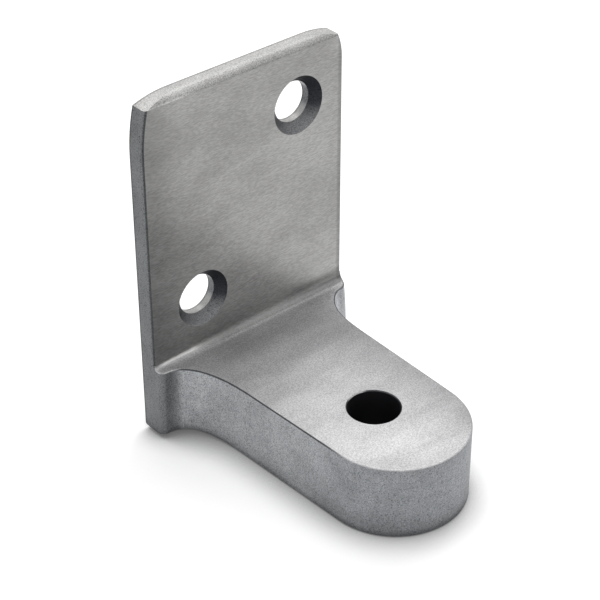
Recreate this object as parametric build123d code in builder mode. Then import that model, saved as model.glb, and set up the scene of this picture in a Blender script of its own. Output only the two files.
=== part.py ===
from build123d import *
import math
import os

# Hinge bracket: one steel casting, an upright mounting plate with a thick pivot arm.
# The frame's origin is on the pivot hole's axis, in the plane of the flat underside.
# +Z is up the pivot axis, +Y points to the plate and out of its back face, +X runs along the plate.
# All sizes are in millimetres. Left is the -X side and right is the +X side.

# Mounting plate
plate_width = 50.0
plate_height = 75.5
plate_thickness = 3.9
# Each top corner is eased in: a long arc from the top and one from the side meet in a soft crease.
left_ease_along_top = 9.0
left_ease_down_side = 11.5
left_ease_drop = 1.3
right_ease_along_top = 8.0
right_ease_down_side = 6.0
right_ease_drop = 1.05
# The front was ground flat after its edges were rounded, so the rounds end in a crisp line.
front_grind = 0.25
top_edge_round = 2.2
side_edge_round = 1.2
foot_corner_round = 1.5
heel_round = 1.5

# Pivot arm
arm_height = 16.4
pivot_reach = 41.1
nose_beyond_pivot = 6.0
nose_radius = 14.85
arm_side_taper = 2.0
arm_foot_round = 0.5
arm_top_break = 0.4

# Flared root, where the arm spreads out to the full width of the plate.
# It was ground by hand, so the right flare is fuller than the left one and its corner is softer.
root_length = 22.0
left_root_depth = 6.15
left_front_pull = 3.6
left_waist_depth = 8.7
left_waist_out = 1.5
left_side_pull = 8.0
left_corner_rounds = (1.0, 1.2, 1.5)
right_root_depth = 6.6
right_front_pull = 2.6
right_waist_depth = 10.8
right_waist_out = 1.0
right_side_pull = 10.0
right_corner_rounds = (1.4, 1.6, 4.0)
corner_round_level = 10.0
root_foot_round = 2.5
foot_corner_growth = 0.8
foot_sections = 4

# Shallow cove from the arm's top up to the plate. To the right it dies away as its crease opens.
cove_reach = 6.3
left_cove_rise = 0.4
left_crease_out = 0.8
left_crease_up = 1.2
middle_x = -6.0
middle_cove_rise = 0.15
middle_crease_out = 2.1
middle_crease_up = 2.1
right_cove_rise = 0.1
right_crease_out = 2.5
right_crease_up = 2.0

# Holes
pivot_hole_diameter = 10.6
pivot_mouth_break = 0.2
screw_hole_diameter = 8.7
screw_head_diameter = 12.4
screw_head_angle = 82.0
upper_screw_place = (13.2, 62.6)
lower_screw_place = (-12.0, 28.2)

# Places that follow from the sizes above
half_plate = plate_width / 2
back_y = pivot_reach
front_y = back_y - plate_thickness
behind_y = back_y + plate_thickness
root_end_y = back_y - root_length
nose_y = -nose_beyond_pivot
taper = math.radians(arm_side_taper)
cove_start_y = front_y - cove_reach
block_height = arm_height + left_crease_up + middle_crease_up + right_crease_up
well_above = 2 * plate_height
well_aside = 2 * plate_width
plate_back = Plane.XZ.offset(-back_y)
plate_front = Plane.XZ.offset(-front_y)


def arm_side_x(y, inset):
    """Half of the arm's width at y: straight sides, tangent to the round nose, spreading to the plate."""
    return (nose_radius - inset) / math.cos(taper) + (y - nose_y) * math.tan(taper)


def foot_inset(radius, height):
    """How far a foot edge rounded to this radius stands in at this height above the underside."""
    if height >= radius:
        return 0.0
    return radius - math.sqrt(radius**2 - (radius - height) ** 2)


def arm_half(hand, corner_round, root_inset, arm_inset):
    """Draw half of the arm from above: plate end, soft corner, flare, straight side and half the nose.

    The left half has hand -1 and the right half has hand 1.
    """
    if hand < 0:
        root_depth, front_pull, waist_depth = left_root_depth, left_front_pull, left_waist_depth
        waist_out, side_pull = left_waist_out, left_side_pull
    else:
        root_depth, front_pull, waist_depth = right_root_depth, right_front_pull, right_waist_depth
        waist_out, side_pull = right_waist_out, right_side_pull
    root_front_y = back_y - root_depth + root_inset
    waist_y = back_y - waist_depth
    pull_y = root_end_y + side_pull
    back = Line((0, behind_y), (hand * half_plate, behind_y))
    end = Line(back @ 1, (hand * half_plate, root_front_y + corner_round))
    flare_start = (hand * (half_plate - corner_round), root_front_y)
    TangentArc(end @ 1, flare_start, tangent=(0, -1))
    flare = Bezier(
        flare_start,
        (hand * (half_plate - corner_round - front_pull), root_front_y),
        (hand * (arm_side_x(waist_y, root_inset) + waist_out), waist_y + root_inset),
        (hand * arm_side_x(pull_y, arm_inset), pull_y),
        (hand * arm_side_x(root_end_y, arm_inset), root_end_y),
    )
    bend_radius = nose_radius - arm_inset
    bend_start = (hand * bend_radius * math.cos(taper), nose_y - bend_radius * math.sin(taper))
    side = Line(flare @ 1, bend_start)
    TangentArc(side @ 1, (0, nose_y - bend_radius), tangent=side % 1)


# Front outline of the whole bracket: eased top corners and small round foot corners
with BuildSketch(plate_back) as front_outline:
    with BuildLine():
        sides = (
            (-1, left_ease_along_top, left_ease_down_side, left_ease_drop),
            (1, right_ease_along_top, right_ease_down_side, right_ease_drop),
        )
        for hand, along_top, down_side, drop in sides:
            crest = (hand * (half_plate - drop), plate_height - drop)
            bottom = Line((0, 0), (hand * (half_plate - foot_corner_round), 0))
            foot = TangentArc(bottom @ 1, (hand * half_plate, foot_corner_round), tangent=(hand, 0))
            side = Line(foot @ 1, (hand * half_plate, plate_height - down_side))
            TangentArc(side @ 1, crest, tangent=(0, 1))
            top = Line((0, plate_height), (hand * (half_plate - along_top), plate_height))
            TangentArc(top @ 1, crest, tangent=(hand, 0))
    make_face()

# Plate, with its rounded front edges
with BuildPart() as plate:
    extrude(front_outline.sketch, amount=plate_thickness + front_grind)
    front_edges = plate.faces().sort_by(Axis.Y)[0].edges()
    flanks = front_edges.filter_by(lambda edge: abs(edge.center().X) > half_plate - foot_corner_round)
    fillet(flanks, side_edge_round)
    round_back_y = front_y - front_grind + top_edge_round
    with BuildSketch(Plane.YZ.offset(-well_aside)):
        with BuildLine():
            edge_round = TangentArc(
                (round_back_y, plate_height),
                (front_y - front_grind, plate_height - top_edge_round),
                tangent=(-1, 0),
            )
            down = Line(edge_round @ 1, (front_y - well_aside, plate_height - top_edge_round))
            up = Line(down @ 1, (front_y - well_aside, well_above))
            over = Line(up @ 1, (round_back_y, well_above))
            Line(over @ 1, edge_round @ 0)
        make_face()
    extrude(amount=2 * well_aside, mode=Mode.SUBTRACT)
    with BuildSketch(plate_front):
        Rectangle(well_aside, 2 * well_above)
    extrude(amount=plate_thickness, mode=Mode.SUBTRACT)

# Arm with its flared root, as a stack of plan outlines
with BuildPart() as arm:
    # The foot's edge is rounded most at the plate and least along the arm, so it is drawn in two bands.
    for band_start, band_end in ((0.0, arm_foot_round), (arm_foot_round, root_foot_round)):
        for section in range(foot_sections):
            turn = math.pi / 2 * section / (foot_sections - 1)
            height = band_start + (band_end - band_start) * (1 - math.cos(turn))
            root_inset = foot_inset(root_foot_round, height)
            arm_inset = foot_inset(arm_foot_round, height)
            growth = foot_corner_growth * root_inset
            with BuildSketch(Plane.XY.offset(height)):
                with BuildLine():
                    arm_half(-1, left_corner_rounds[0] + growth, root_inset, arm_inset)
                    arm_half(1, right_corner_rounds[0] + growth, root_inset, arm_inset)
                make_face()
        loft()
    corner_levels = (root_foot_round, corner_round_level, block_height)
    for height, left_round, right_round in zip(corner_levels, left_corner_rounds, right_corner_rounds):
        with BuildSketch(Plane.XY.offset(height)):
            with BuildLine():
                arm_half(-1, left_round, 0.0, 0.0)
                arm_half(1, right_round, 0.0, 0.0)
            make_face()
    loft()
    # The arm's top is cut flat as far as the cove.
    with BuildSketch(Plane.XY.offset(arm_height)):
        with Locations((0, cove_start_y)):
            Rectangle(well_aside, well_aside, align=(Align.CENTER, Align.MAX))
    extrude(amount=block_height, mode=Mode.SUBTRACT)
    # The cove and the crease are one cut between side profiles. Each crease ends tangent to the plate.
    # Behind the crease the arm ends level inside the plate.
    side_profiles = (
        (-half_plate, left_cove_rise, left_crease_out, left_crease_up),
        (middle_x, middle_cove_rise, middle_crease_out, middle_crease_up),
        (half_plate, right_cove_rise, right_crease_out, right_crease_up),
    )
    for side_x, cove_rise, crease_out, crease_up in side_profiles:
        crease_start = (front_y - crease_out, arm_height + cove_rise)
        cove_slope = 2 * cove_rise / (cove_reach - crease_out)
        crease_corner = (front_y, crease_start[1] + cove_slope * crease_out)
        crease_end = (front_y, arm_height + crease_up)
        with BuildSketch(Plane.YZ.offset(side_x)):
            with BuildLine():
                cove = Bezier(
                    (cove_start_y, arm_height),
                    ((cove_start_y + front_y - crease_out) / 2, arm_height),
                    crease_start,
                )
                Bezier(cove @ 1, crease_corner, crease_end)
                ledge = Line(crease_end, (behind_y, crease_end[1]))
                behind = Line(ledge @ 1, (behind_y, well_above))
                above = Line(behind @ 1, (cove_start_y, well_above))
                Line(above @ 1, cove @ 0)
            make_face()
    loft(mode=Mode.SUBTRACT)
    # The break starts on the nose's top edge and runs on along the sides, the flares and the cove.
    nose_top = arm.edges().filter_by_position(Axis.Z, arm_height, arm_height).sort_by(Axis.Y)[0]
    fillet(nose_top, arm_top_break)
    extrude(front_outline.sketch, amount=back_y - nose_y + nose_radius, mode=Mode.INTERSECT)

with BuildPart() as hinge_bracket:
    add(plate)
    add(arm)
    # The heel is the lower edge of the back.
    with BuildSketch(Plane.YZ.offset(-well_aside)):
        with BuildLine():
            heel = TangentArc((back_y - heel_round, 0), (back_y, heel_round), tangent=(1, 0))
            out = Line(heel @ 1, (behind_y, heel_round))
            low = Line(out @ 1, (behind_y, -heel_round))
            under = Line(low @ 1, (back_y - heel_round, -heel_round))
            Line(under @ 1, heel @ 0)
        make_face()
    extrude(amount=2 * well_aside, mode=Mode.SUBTRACT)
    Hole(pivot_hole_diameter / 2)
    pivot_wall = hinge_bracket.faces().filter_by(GeomType.CYLINDER).sort_by_distance((0, 0, 0))[0]
    chamfer(pivot_wall.edges().sort_by(Axis.Z)[-1], pivot_mouth_break)
    with Locations(plate_front):
        with Locations(upper_screw_place, lower_screw_place):
            CounterSinkHole(
                screw_hole_diameter / 2,
                screw_head_diameter / 2,
                counter_sink_angle=screw_head_angle,
            )

hinge_bracket.part.label = "hinge_bracket"
os.makedirs("parts", exist_ok=True)
export_step(hinge_bracket.part, "parts/hinge_bracket.step")
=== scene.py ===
import math

import bpy
import numpy as np
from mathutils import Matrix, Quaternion, Vector


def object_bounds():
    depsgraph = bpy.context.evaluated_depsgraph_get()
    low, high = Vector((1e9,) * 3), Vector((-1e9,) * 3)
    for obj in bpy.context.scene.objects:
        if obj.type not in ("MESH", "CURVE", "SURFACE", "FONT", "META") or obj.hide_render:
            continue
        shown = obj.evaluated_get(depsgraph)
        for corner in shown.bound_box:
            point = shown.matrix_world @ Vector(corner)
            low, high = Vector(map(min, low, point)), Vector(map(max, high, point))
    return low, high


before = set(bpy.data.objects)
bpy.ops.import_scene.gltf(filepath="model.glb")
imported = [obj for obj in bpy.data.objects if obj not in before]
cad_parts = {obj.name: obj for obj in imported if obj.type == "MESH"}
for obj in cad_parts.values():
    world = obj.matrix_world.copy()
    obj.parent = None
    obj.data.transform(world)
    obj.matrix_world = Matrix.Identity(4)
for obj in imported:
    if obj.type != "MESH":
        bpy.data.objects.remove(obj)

# A satin steel hinge bracket stands on a pale floor in plain soft light.
# Lengths are metres, in the bracket's own frame: +Z up the pivot axis and +Y towards the plate.
# Left is the -X side and right is the +X side.

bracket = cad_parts["hinge_bracket"]
bracket_low, bracket_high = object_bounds()

PLATE_THICKNESS = 0.0039
ARM_HEIGHT = 0.0164
PIVOT_HOLE_RADIUS = 0.0053
SCREW_HOLE_RADIUS = 0.00435
SCREW_HEAD_RADIUS = 0.0062
SCREW_PLACES = ((0.0132, 0.0626), (-0.012, 0.0282))
PLATE_LEFT_X = bracket_low.x
PLATE_RIGHT_X = bracket_high.x
PLATE_BACK_Y = bracket_high.y
PLATE_FRONT_Y = PLATE_BACK_Y - PLATE_THICKNESS
PLATE_TOP_Z = bracket_high.z


# Node helpers

# Most of the noise lies in this range.
NOISE_RANGE = (0.28, 0.72)
NOISE_ROUGHNESS = 0.6


def new_material(name):
    """A new material, its node tree and its shader."""
    material = bpy.data.materials.new(name)
    material.use_nodes = True
    shader = material.node_tree.nodes["Principled BSDF"]
    return material, material.node_tree, shader


def feed(tree, socket, value):
    """Put a plain number on a socket, or link another node's output to it."""
    if isinstance(value, (int, float)):
        socket.default_value = value
    else:
        tree.links.new(value, socket)


def maths(tree, operation, first, second):
    """One sum of two sockets or plain numbers."""
    node = tree.nodes.new("ShaderNodeMath")
    node.operation = operation
    feed(tree, node.inputs[0], first)
    feed(tree, node.inputs[1], second)
    return node.outputs[0]


def product(tree, *values):
    """Every value times the next."""
    result = values[0]
    for value in values[1:]:
        result = maths(tree, "MULTIPLY", result, value)
    return result


def largest(tree, *values):
    """The largest of the values."""
    result = values[0]
    for value in values[1:]:
        result = maths(tree, "MAXIMUM", result, value)
    return result


def size_of(tree, value):
    """The value without its sign."""
    return maths(tree, "MAXIMUM", value, maths(tree, "MULTIPLY", value, -1.0))


def fade(tree, value, start, full, low=0.0, high=1.0):
    """Smoothly from low at start to high at full."""
    node = tree.nodes.new("ShaderNodeMapRange")
    node.interpolation_type = "SMOOTHSTEP"
    tree.links.new(value, node.inputs["Value"])
    node.inputs["From Min"].default_value = start
    node.inputs["From Max"].default_value = full
    node.inputs["To Min"].default_value = low
    node.inputs["To Max"].default_value = high
    return node.outputs["Result"]


def band(tree, value, start, full, end, gone):
    """Nought at start, one from full to end, and nought again at gone."""
    return product(tree, fade(tree, value, start, full), fade(tree, value, gone, end))


def apart(tree, vector):
    """The x, y and z of a vector."""
    node = tree.nodes.new("ShaderNodeSeparateXYZ")
    tree.links.new(vector, node.inputs[0])
    return node.outputs


def distance(tree, first, first_centre, second, second_centre):
    """How far a point is from an axis, by its two coordinates across the axis."""
    first_away = maths(tree, "SUBTRACT", first, first_centre)
    second_away = maths(tree, "SUBTRACT", second, second_centre)
    first_square = product(tree, first_away, first_away)
    second_square = product(tree, second_away, second_away)
    return maths(tree, "POWER", maths(tree, "ADD", first_square, second_square), 0.5)


def grain(tree, where, stretch, scale, detail):
    """Fine noise through the metal. It is drawn out along an axis whose stretch is below one."""
    mapping = tree.nodes.new("ShaderNodeMapping")
    mapping.inputs["Scale"].default_value = stretch
    tree.links.new(where, mapping.inputs["Vector"])
    noise = tree.nodes.new("ShaderNodeTexNoise")
    noise.inputs["Scale"].default_value = scale
    noise.inputs["Detail"].default_value = detail
    noise.inputs["Roughness"].default_value = NOISE_ROUGHNESS
    tree.links.new(mapping.outputs["Vector"], noise.inputs["Vector"])
    return noise.outputs["Fac"]


def swing(tree, noise, amount):
    """Turn noise into a factor that runs from one less this amount to one more this amount."""
    return fade(tree, noise, *NOISE_RANGE, 1.0 - amount, 1.0 + amount)


def blend(tree, share, first, second):
    """From the first number at share 0 to the second at share 1."""
    node = tree.nodes.new("ShaderNodeMix")
    node.data_type = "FLOAT"
    for name, value in (("Factor", share), ("A", first), ("B", second)):
        feed(tree, node.inputs[name], value)
    return node.outputs["Result"]


def mix_colour(tree, share, first, second):
    """From the first colour at share 0 to the second at share 1."""
    node = tree.nodes.new("ShaderNodeMix")
    node.data_type = "RGBA"
    sockets = [socket for socket in node.inputs if socket.type == "RGBA"]
    for socket, value in zip(sockets, (first, second)):
        if isinstance(value, tuple):
            socket.default_value = (*value, 1.0)
        else:
            tree.links.new(value, socket)
    tree.links.new(share, node.inputs["Factor"])
    return [socket for socket in node.outputs if socket.type == "RGBA"][0]


def scaled(tree, colour, factor):
    """A colour times a factor."""
    node = tree.nodes.new("ShaderNodeVectorMath")
    node.operation = "SCALE"
    if isinstance(colour, tuple):
        node.inputs[0].default_value = colour
    else:
        tree.links.new(colour, node.inputs[0])
    tree.links.new(factor, node.inputs["Scale"])
    return node.outputs["Vector"]


# Where each finish and each painted light and shade lies, along the axis that ends its name

def places_from(base, *steps):
    """The places that lie these steps from a base."""
    return tuple(base + step for step in steps)


# Two values say where a finish or painted shade starts and is full. Two more say where it begins to fade
# and is gone.
PLATE_SKIN_Y = places_from(PLATE_FRONT_Y, -0.002, -0.0001)
PLATE_SKIN_Z = places_from(ARM_HEIGHT, 0.0002, 0.0012)
PLATE_END_Y = places_from(PLATE_FRONT_Y, -0.0034, -0.002)
TOP_ROUND_Z = places_from(PLATE_TOP_Z, -0.0024, -0.0012)
BACK_EDGE_Y = places_from(PLATE_BACK_Y, -0.0006, -0.0001)
LEFT_BORDER_X = places_from(PLATE_LEFT_X, 0.0105, 0.0005)
RIGHT_RIM_X = places_from(PLATE_RIGHT_X, -0.0017, -0.001)
OVER_CREASE_X = (-0.016, -0.004, 0.0, 0.01)
OVER_CREASE_Z = places_from(ARM_HEIGHT, 0.0006, 0.0022, 0.003, 0.0075)
RIGHT_LINE_X = (0.004, 0.019)
RIGHT_LINE_Z = places_from(ARM_HEIGHT, 0.0005, 0.0013, 0.0023, 0.0045)

WALL_Z = places_from(ARM_HEIGHT, 0.0012, 0.0002)
LOW_WALL_Z = (0.0055, 0.001)
FOOT_LINE_Z = (0.0018, 0.0006)
NOSE_Y = (0.006, -0.01)
RIGHT_CORNER_X = places_from(PLATE_RIGHT_X, -0.0055, -0.004)
RIGHT_CORNER_Y = places_from(PLATE_FRONT_Y, -0.0092, -0.0042)
HIGH_HOLLOW_Z = (0.0085, 0.0125)
LOW_HOLLOW_Z = (0.0045, 0.002)

ARM_TOP_Y = places_from(PLATE_FRONT_Y, -0.0001, -0.002)
COVE_Y = (0.012, PLATE_FRONT_Y - 0.0042)
RIGHT_BORDER_X = (-0.001, 0.0165)
RIGHT_BORDER_Y = (0.038, 0.018)
CREASE_Y = places_from(PLATE_FRONT_Y, 0.0003, -0.0001)
CREASE_Z = places_from(ARM_HEIGHT, 0.0, 0.0003)
LEFT_CREASE_X = places_from(PLATE_LEFT_X, 0.019, 0.007)
BRIGHT_CREASE_X = places_from(PLATE_LEFT_X, 0.0005, 0.0025, 0.0095, 0.013)
SHADED_CREASE_X = places_from(PLATE_LEFT_X, 0.007, 0.019)
BREAK_Y = (-0.01, -0.002, PLATE_FRONT_Y - 0.0032, PLATE_FRONT_Y - 0.0012)
BREAK_Z = places_from(ARM_HEIGHT, -0.0007, -0.0004, 0.003, 0.005)

# Round finishes and the round painted shade at the root's left corner, by how far from their middle they
# start and are full

HOLLOW_PLACE = (PLATE_LEFT_X + 0.0018, PLATE_FRONT_Y - 0.0027)
HOLLOW_REACH = (0.0028, 0.0006)
SCREW_HEAD_REACH = places_from(SCREW_HEAD_RADIUS, 0.00004, -0.00006)
SCREW_HOLE_REACH = places_from(SCREW_HOLE_RADIUS, 0.0, 0.0001)
PIVOT_HOLE_REACH = places_from(PIVOT_HOLE_RADIUS, 0.00006, 0.00002)

# The painted light on the low part of a countersink, by its height from the screw's axis

LIT_PART_OF_SCREW_HEAD = (-0.001, -0.005)

# By how level a face is: a level face has 1 and an upright one has 0

UPRIGHT = (0.65, 0.35)
LEVEL_TOP = (0.6, 0.9)
TOP_ROUND_SLOPE = (0.2, 0.4)
TOP_FLAT_SLOPE = (0.85, 0.98)
CREASE_SLOPE = (0.2, 0.4)
BRIGHT_CREASE_SLOPE = (0.9, 0.65)
BREAK_SLOPE = (0.25, 0.4)
BREAK_TILT = (0.97, 0.85)
RIGHT_BREAK_TILT = (0.995, 0.975)
PIVOT_WALL_SLOPE = (0.4, 0.2)

# By how far a face looks to either side, where 1 is straight along X

TO_PLATE_END = (0.35, 0.8)
OFF_PLATE_END = (0.93, 0.75)
BREAK_TO_SIDE = (0.2, 0.35)

# By how far a face looks to the right, from -1 to 1

TO_LEFT = (0.05, -0.05)
BREAK_TO_RIGHT = (0.1, 0.2)
CORNER_TO_RIGHT = (0.3, 0.55, 0.85, 0.95)

# By how far a face looks to the back, from -1 to 1

NOT_BEHIND = (0.9, 0.6)
TO_FRONT = (-0.4, -0.8)
CREASE_TO_FRONT = (-0.25, -0.5)

# How much of a finish or of a painted shade is left where it isn't full

MIDDLE_HOLLOW = 0.35
CORNER_BREAK = 0.75
TOP_ROUND_SPECKS = 0.5

# Each finish's own colour and the colours painted as shade and light, from the first laid to the last

ARM_SATIN = (0.438, 0.435, 0.44)
FINISH_AND_SHADE_PAINTS = {
    "plate": (0.32, 0.318, 0.312),
    "walls": (0.378, 0.387, 0.399),
    "nose": (0.284, 0.293, 0.305),
    "ends": (0.378, 0.387, 0.399),
    # Painted shade: the plate's left end is painted darker than its right end
    "left_plate_end_shade": (0.185, 0.192, 0.198),
    # Painted shade: a dark line down the plate's side rounds and along the arm's broken top edge
    "side_round_shade": (0.085, 0.088, 0.093),
    "break_line_shade": (0.085, 0.088, 0.093),
    # Painted shade along the crease's middle and right part, where the plate meets the arm's top
    "crease_shade": (0.25, 0.25, 0.248),
    # Painted shade in the hollow at the root's left corner, strongest under the crease and at the foot
    "hollow_shade": (0.17, 0.176, 0.18),
    # The countersinks are painted near black: partly darker metal of their own, partly painted shade
    "cones": (0.036, 0.039, 0.045),
    # Painted light: each countersink's low part is painted lighter
    "lit_cone_bottoms": (0.19, 0.193, 0.198),
}
# Painted shade: the pivot hole's wall is painted nearly black, as the bore's deep shade
PIVOT_HOLE_SHADE = (0.04, 0.04, 0.045)

# Painted light and shade: how much lighter or darker the metal is painted at its borders and edges, in
# its creases and in its corners

PAINTED_LIGHT_AND_SHADE = {
    # Painted shade along the back edges, the plate's left border, the arm's cove, its right border and
    # the plate's right rim
    "back_edges": 0.6,
    "left_border": 0.72,
    "cove": 0.8,
    "right_border": 0.65,
    "right_rim": 0.75,
    # Painted highlights on the plate's top round and top flat
    "top_round": 1.17,
    "top_flat": 1.12,
    # Painted shade in a line along the crease's right part
    "right_line": 0.62,
    # A painted reflection of light on the root's right corner
    "right_corner": 1.35,
    # Painted shade low on the walls, along the foot and over the crease
    "low_walls": 0.9,
    "foot_line": 0.7,
    "over_crease": 0.86,
    # A painted highlight along the crease's left part
    "bright_crease": 1.75,
}

# The metal's grains: stretch along x, y and z, scale and detail

GRAINS = {
    "brush_lines": ((0.18, 1.0, 1.0), 5600.0, 2.0),
    "fine_satin": ((0.5, 1.0, 1.0), 5500.0, 2.0),
    "pits": ((1.0, 1.0, 1.0), 4600.0, 2.0),
    "streaks": ((1.0, 1.0, 0.25), 1900.0, 2.0),
    "specks": ((1.0, 1.0, 1.0), 2900.0, 1.0),
    "clouds": ((0.5, 1.0, 1.0), 120.0, 3.0),
}

# How far each grain makes the metal lighter and darker, and how dark the specks are

SWINGS = {
    "brush_lines": 0.19,
    "fine_satin": 0.25,
    "pits": 0.3,
    "streaks": 0.06,
    "clouds": 0.12,
}
SPECK_NOISE = (0.58, 0.68)
SPECK_SHADE = 0.62

# Sheen

PLATE_GRAIN_RANGE = (0.25, 0.75)
PLATE_ROUGHNESS = (0.35, 0.47)
ARM_ROUGHNESS = 0.6
TUMBLED_ROUGHNESS = 0.58
TOP_ROUND_ROUGHNESS = 0.66
GRAIN_BUMP = 0.4
GRAIN_DEPTH = 0.00003


def face_directions(tree, normal):
    """How far a face looks right, back and to either side, how level it is, and two shares from these."""
    right, back, up = normal
    level = size_of(tree, up)
    return {
        "right": right,
        "back": back,
        "aside": size_of(tree, right),
        "level": level,
        "upright": fade(tree, level, *UPRIGHT),
        "not_behind": fade(tree, back, *NOT_BEHIND),
    }


def at_right_corner(tree, x, y):
    """Where the root's right corner lies, as a share."""
    return product(tree, fade(tree, x, *RIGHT_CORNER_X), fade(tree, y, *RIGHT_CORNER_Y))


def plate_shares(tree, place, facing):
    """Where the plate's finishes and its painted light and shade lie, as shares from nought to one:
    painted shade at its back edges, borders, rim, side rounds and crease, and painted highlights on its
    top round and top flat.
    """
    x, y, z = place
    above_arm = fade(tree, z, *PLATE_SKIN_Z)
    skin_height = blend(tree, facing["not_behind"], 1.0, above_arm)
    plate = product(tree, fade(tree, y, *PLATE_SKIN_Y), skin_height)
    front = product(tree, plate, fade(tree, facing["back"], *TO_FRONT))
    to_end = fade(tree, facing["aside"], *TO_PLATE_END)
    ends = product(tree, facing["upright"], fade(tree, y, *PLATE_END_Y), to_end)
    near_top = fade(tree, z, *TOP_ROUND_Z)
    over_crease = product(tree, band(tree, x, *OVER_CREASE_X), band(tree, z, *OVER_CREASE_Z))
    right_line = product(tree, fade(tree, x, *RIGHT_LINE_X), band(tree, z, *RIGHT_LINE_Z))
    return {
        "plate": plate,
        "ends": ends,
        "side_round_shade": product(tree, above_arm, ends, fade(tree, facing["aside"], *OFF_PLATE_END)),
        "top_round": product(tree, near_top, fade(tree, facing["level"], *TOP_ROUND_SLOPE)),
        "top_flat": product(tree, near_top, fade(tree, facing["level"], *TOP_FLAT_SLOPE)),
        "back_edges": product(tree, fade(tree, y, *BACK_EDGE_Y), facing["not_behind"]),
        "left_border": product(tree, front, fade(tree, x, *LEFT_BORDER_X)),
        "right_rim": product(tree, front, fade(tree, x, *RIGHT_RIM_X)),
        "over_crease": product(tree, front, over_crease),
        "right_line": product(tree, front, right_line),
    }


def wall_shares(tree, place, facing, ends):
    """Where the finishes of the arm's walls lie, with the painted shade on the plate's left end, low on
    the walls, along the foot and in the left hollow, and the painted reflection on the root's right
    corner.
    """
    x, y, z = place
    seen_upright = product(tree, facing["upright"], facing["not_behind"])
    walls = product(tree, seen_upright, fade(tree, z, *WALL_Z))
    at_end = product(tree, seen_upright, fade(tree, y, *PLATE_END_Y))
    to_left = fade(tree, facing["right"], *TO_LEFT)
    corner_turn = band(tree, facing["right"], *CORNER_TO_RIGHT)
    from_hollow = distance(tree, x, HOLLOW_PLACE[0], y, HOLLOW_PLACE[1])
    high_hollow = fade(tree, z, *HIGH_HOLLOW_Z)
    low_hollow = fade(tree, z, *LOW_HOLLOW_Z)
    hollow_depth = largest(tree, high_hollow, low_hollow, MIDDLE_HOLLOW)
    return {
        "walls": walls,
        "nose": product(tree, walls, fade(tree, y, *NOSE_Y)),
        "low_walls": product(tree, walls, fade(tree, z, *LOW_WALL_Z)),
        "foot_line": product(tree, fade(tree, z, *FOOT_LINE_Z), facing["not_behind"]),
        "left_plate_end_shade": product(tree, at_end, to_left, largest(tree, walls, ends)),
        "right_corner": product(tree, walls, at_right_corner(tree, x, y), corner_turn),
        "hollow_shade": product(tree, walls, fade(tree, from_hollow, *HOLLOW_REACH), hollow_depth),
    }


def top_shares(tree, place, facing):
    """Where the painted light and shade of the arm's top lie: painted shade on its cove, its crease and
    its border at the right, and a painted highlight on the crease's left part.
    """
    x, y, z = place
    level = facing["level"]
    top = product(tree, fade(tree, level, *LEVEL_TOP), fade(tree, y, *ARM_TOP_Y))
    at_right = product(tree, fade(tree, x, *RIGHT_BORDER_X), fade(tree, y, *RIGHT_BORDER_Y))
    in_crease = product(tree, fade(tree, y, *CREASE_Y), fade(tree, z, *CREASE_Z))
    to_front = fade(tree, facing["back"], *CREASE_TO_FRONT)
    crease = product(tree, in_crease, to_front, fade(tree, level, *CREASE_SLOPE))
    left_crease = product(tree, crease, fade(tree, x, *LEFT_CREASE_X))
    bright_part = product(tree, fade(tree, level, *BRIGHT_CREASE_SLOPE), band(tree, x, *BRIGHT_CREASE_X))
    return {
        "cove": product(tree, top, fade(tree, y, *COVE_Y)),
        "right_border": product(tree, top, at_right),
        "crease_shade": product(tree, crease, fade(tree, x, *SHADED_CREASE_X)),
        "bright_crease": product(tree, left_crease, bright_part),
    }


def break_shares(tree, place, facing):
    """Where the arm's broken top edge is painted as a dark line of shade: along its sides and round its
    right corner.
    """
    x, y, z = place
    level = facing["level"]
    to_right = fade(tree, facing["right"], *BREAK_TO_RIGHT)
    right_tilt = product(tree, to_right, fade(tree, level, *RIGHT_BREAK_TILT))
    tilted = largest(tree, fade(tree, level, *BREAK_TILT), right_tilt)
    slanting = product(tree, fade(tree, level, *BREAK_SLOPE), tilted, band(tree, z, *BREAK_Z))
    along_side = product(tree, fade(tree, facing["aside"], *BREAK_TO_SIDE), band(tree, y, *BREAK_Y))
    round_corner = product(tree, at_right_corner(tree, x, y), CORNER_BREAK)
    return {"break_line_shade": product(tree, slanting, largest(tree, along_side, round_corner))}


def hole_shares(tree, place, facing):
    """Where the countersinks and the pivot hole lie. Each countersink's low part is painted lighter, as
    painted light.
    """
    x, y, z = place
    cones, lit_cone_bottoms = [], []
    for screw_x, screw_z in SCREW_PLACES:
        away = distance(tree, x, screw_x, z, screw_z)
        in_head = fade(tree, away, *SCREW_HEAD_REACH)
        outside_hole = fade(tree, away, *SCREW_HOLE_REACH)
        cone = product(tree, in_head, outside_hole, facing["not_behind"])
        height = maths(tree, "SUBTRACT", z, screw_z)
        cones.append(cone)
        lit_cone_bottoms.append(product(tree, cone, fade(tree, height, *LIT_PART_OF_SCREW_HEAD)))
    near_pivot = fade(tree, distance(tree, x, 0.0, y, 0.0), *PIVOT_HOLE_REACH)
    return {
        "cones": largest(tree, *cones),
        "lit_cone_bottoms": largest(tree, *lit_cone_bottoms),
        "pivot_wall": product(tree, near_pivot, fade(tree, facing["level"], *PIVOT_WALL_SLOPE)),
    }


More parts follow.
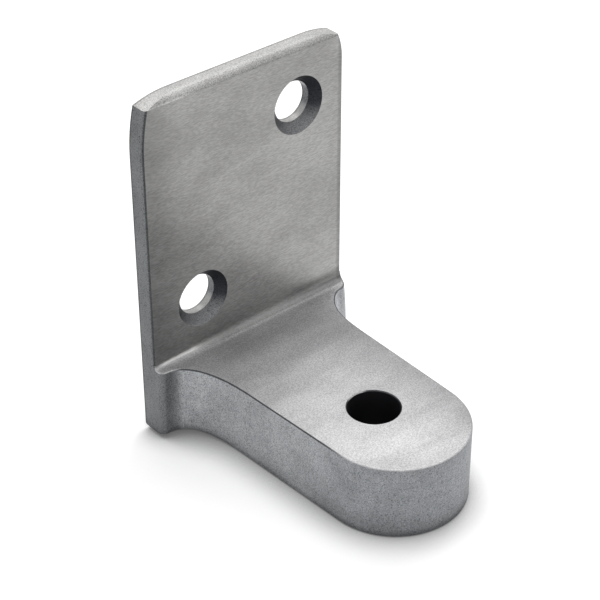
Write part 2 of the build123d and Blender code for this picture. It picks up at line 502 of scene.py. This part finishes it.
def steel_tone(tree, shares, tumbled, grains):
    """How light the metal is beside its own colour, by its grain, specks and clouds, and by the painted
    light and shade at its borders, edges, creases and corners.
    """
    swings = {name: swing(tree, grains[name], amount) for name, amount in SWINGS.items()}
    brushed = blend(tree, shares["plate"], swings["fine_satin"], swings["brush_lines"])
    speck_share = product(tree, tumbled, blend(tree, shares["top_round"], 1.0, TOP_ROUND_SPECKS))
    specks = product(tree, speck_share, fade(tree, grains["specks"], *SPECK_NOISE))
    tone = product(
        tree,
        blend(tree, tumbled, brushed, swings["pits"]),
        swings["clouds"],
        blend(tree, specks, 1.0, SPECK_SHADE),
        blend(tree, shares["walls"], 1.0, swings["streaks"]),
    )
    # The painted light and shade, laid on one after another
    for name, shade in PAINTED_LIGHT_AND_SHADE.items():
        tone = product(tree, tone, blend(tree, shares[name], 1.0, shade))
    return tone


def steel_colour(tree, shares, tone):
    """Each finish's colour or painted shade and light laid over the one before, times the tone, with the
    pivot hole's painted shade last.
    """
    steel = ARM_SATIN
    for name, colour in FINISH_AND_SHADE_PAINTS.items():
        steel = mix_colour(tree, shares[name], steel, colour)
    return mix_colour(tree, shares["pivot_wall"], scaled(tree, steel, tone), PIVOT_HOLE_SHADE)


def steel_roughness(tree, shares, tumbled, fine):
    """The brushed plate is the glossiest, and its top round is the dullest."""
    plate = fade(tree, fine, *PLATE_GRAIN_RANGE, *PLATE_ROUGHNESS)
    brushed = blend(tree, shares["plate"], ARM_ROUGHNESS, plate)
    unbrushed = blend(tree, shares["top_round"], TUMBLED_ROUGHNESS, TOP_ROUND_ROUGHNESS)
    return blend(tree, tumbled, brushed, unbrushed)


def satin_steel():
    """Cast steel in one skin.

    The plate's front and back are satin brushed along X and the arm's top is finer. The walls and the
    plate's ends keep a tumbled grain with dark specks. The side rounds, the arm's broken top edge and
    the root's left hollow are painted darkest, as painted shade, and borders, creases and corners are
    painted lighter or darker as painted light and shade.
    """
    material, tree, shader = new_material("satin_cast_steel")
    surface = tree.nodes.new("ShaderNodeTexCoord")
    where = surface.outputs["Object"]
    place = apart(tree, where)
    facing = face_directions(tree, apart(tree, surface.outputs["Normal"]))
    shares = plate_shares(tree, place, facing)
    shares.update(wall_shares(tree, place, facing, shares["ends"]))
    shares.update(top_shares(tree, place, facing))
    shares.update(break_shares(tree, place, facing))
    shares.update(hole_shares(tree, place, facing))

    tumbled = largest(tree, shares["walls"], shares["ends"], shares["top_round"], shares["cones"])
    grains = {name: grain(tree, where, *settings) for name, settings in GRAINS.items()}
    brushed_grain = blend(tree, shares["plate"], grains["fine_satin"], grains["brush_lines"])
    fine = blend(tree, tumbled, brushed_grain, grains["pits"])

    tone = steel_tone(tree, shares, tumbled, grains)
    tree.links.new(steel_colour(tree, shares, tone), shader.inputs["Base Color"])
    tree.links.new(steel_roughness(tree, shares, tumbled, fine), shader.inputs["Roughness"])
    shader.inputs["Metallic"].default_value = 1.0
    bump = tree.nodes.new("ShaderNodeBump")
    bump.inputs["Strength"].default_value = GRAIN_BUMP
    bump.inputs["Distance"].default_value = GRAIN_DEPTH
    tree.links.new(fine, bump.inputs["Height"])
    tree.links.new(bump.outputs["Normal"], shader.inputs["Normal"])
    return material


# Floor, surround and soft boxes

WHITE = (1.0, 1.0, 1.0, 1.0)
FLOOR_WHITE = (0.9, 0.9, 0.9)
FLOOR_GLOW = 0.35
FLOOR_HALF_WIDTH = 3.0
FLOOR_STEPS = 8
SURROUND_LIGHT = 0.45

# The contact shadow: how near, how finely sought, how open each end of its fade is, and how light

CONTACT_REACH = 0.011
CONTACT_SAMPLES = 8
CONTACT_OPENNESS = (0.28, 0.9)
CONTACT_LIGHT = (0.3, 1.0)

# Each soft box's direction from the bracket, its distance, its size and its strength

SOFT_BOXES = {
    "overhead_box": ((0.2, 0.24, 1.0), 0.8, 0.55, 3.3),
    "right_box": ((0.8, 0.3, 0.75), 0.8, 0.4, 0.9),
}


def seen_share(tree):
    """One for rays from the camera, mirror-like reflections and clear pieces, nought for other light."""
    path = tree.nodes.new("ShaderNodeLightPath")
    kinds = ("Is Camera Ray", "Is Glossy Ray", "Is Transmission Ray")
    return largest(tree, *[path.outputs[kind] for kind in kinds])


def pale_floor():
    """A white floor that keeps the bracket's shadow, with a little light of its own where it is seen.

    Under and close beside the bracket both the white and the glow fade, as in a deep contact shadow.
    """
    material, tree, shader = new_material("pale_floor")
    tree.nodes.remove(shader)
    nearness = tree.nodes.new("ShaderNodeAmbientOcclusion")
    nearness.samples = CONTACT_SAMPLES
    nearness.inputs["Distance"].default_value = CONTACT_REACH
    contact = fade(tree, nearness.outputs["AO"], *CONTACT_OPENNESS, *CONTACT_LIGHT)
    matt = tree.nodes.new("ShaderNodeBsdfDiffuse")
    tree.links.new(scaled(tree, FLOOR_WHITE, contact), matt.inputs["Color"])
    glow = tree.nodes.new("ShaderNodeEmission")
    glow.inputs["Color"].default_value = WHITE
    tree.links.new(product(tree, seen_share(tree), contact, FLOOR_GLOW), glow.inputs["Strength"])
    both = tree.nodes.new("ShaderNodeAddShader")
    tree.links.new(matt.outputs[0], both.inputs[0])
    tree.links.new(glow.outputs[0], both.inputs[1])
    tree.links.new(both.outputs[0], tree.nodes["Material Output"].inputs["Surface"])
    return material


def floor_surface(half_width, steps):
    """A flat grid: x and y run evenly from minus to plus half_width, and z is nought everywhere."""
    along = np.linspace(-half_width, half_width, steps + 1)
    grid_x, grid_y = np.meshgrid(along, along)
    points = np.stack([grid_x, grid_y, np.zeros_like(grid_x)], axis=-1).reshape(-1, 3)
    first = (np.arange(steps)[:, None] * (steps + 1) + np.arange(steps)).reshape(-1)
    faces = np.stack([first, first + 1, first + steps + 2, first + steps + 1], axis=-1)
    mesh = bpy.data.meshes.new("floor")
    mesh.from_pydata(points.tolist(), [], faces.tolist())
    floor = bpy.data.objects.new("floor", mesh)
    bpy.context.scene.collection.objects.link(floor)
    return floor


def studio_world():
    """An even surround. It is white where it is seen and lights everything else at the plain level."""
    world = bpy.data.worlds.new("studio")
    bpy.context.scene.world = world
    world.use_nodes = True
    tree = world.node_tree
    background = tree.nodes["Background"]
    background.inputs["Color"].default_value = WHITE
    tree.links.new(largest(tree, seen_share(tree), SURROUND_LIGHT), background.inputs["Strength"])


def soft_box(name, direction, distance_away, size, strength):
    """A square soft box, this far from the bracket's middle along the direction and facing it."""
    light = bpy.data.lights.new(name, "AREA")
    light.shape = "SQUARE"
    light.size = size
    light.energy = strength
    box = bpy.data.objects.new(name, light)
    towards = Vector(direction).normalized()
    box.location = (bracket_low + bracket_high) / 2 + towards * distance_away
    box.rotation_mode = "QUATERNION"
    box.rotation_quaternion = (-towards).to_track_quat("-Z", "Y")
    bpy.context.scene.collection.objects.link(box)


# Camera

CAMERA_PLACE = Vector((-0.19837, -0.20616, 0.23691))
CAMERA_TARGET = Vector((-0.00488, 0.0161, 0.0354))
CAMERA_ROLL = math.radians(-0.1)
CAMERA_NEAR = 0.01
CAMERA_FAR = 20.0
SENSOR_WIDTH = 36.0
LENS = 111.69


def photo_camera():
    """The camera stands where the photograph was taken from."""
    camera = bpy.data.cameras.new("photo_camera")
    camera.sensor_width = SENSOR_WIDTH
    camera.lens = LENS
    camera.clip_start = CAMERA_NEAR
    camera.clip_end = CAMERA_FAR
    stand = bpy.data.objects.new("photo_camera", camera)
    back = (CAMERA_PLACE - CAMERA_TARGET).normalized()
    stand.location = CAMERA_PLACE
    stand.rotation_mode = "QUATERNION"
    stand.rotation_quaternion = Quaternion(back, CAMERA_ROLL) @ (-back).to_track_quat("-Z", "Y")
    bpy.context.scene.collection.objects.link(stand)
    bpy.context.scene.camera = stand


# The scene

bracket.data.materials.clear()
bracket.data.materials.append(satin_steel())

floor = floor_surface(FLOOR_HALF_WIDTH, FLOOR_STEPS)
floor.data.materials.append(pale_floor())

studio_world()
for box_name, box_settings in SOFT_BOXES.items():
    soft_box(box_name, *box_settings)
photo_camera()

bpy.context.scene.view_settings.view_transform = "Standard"
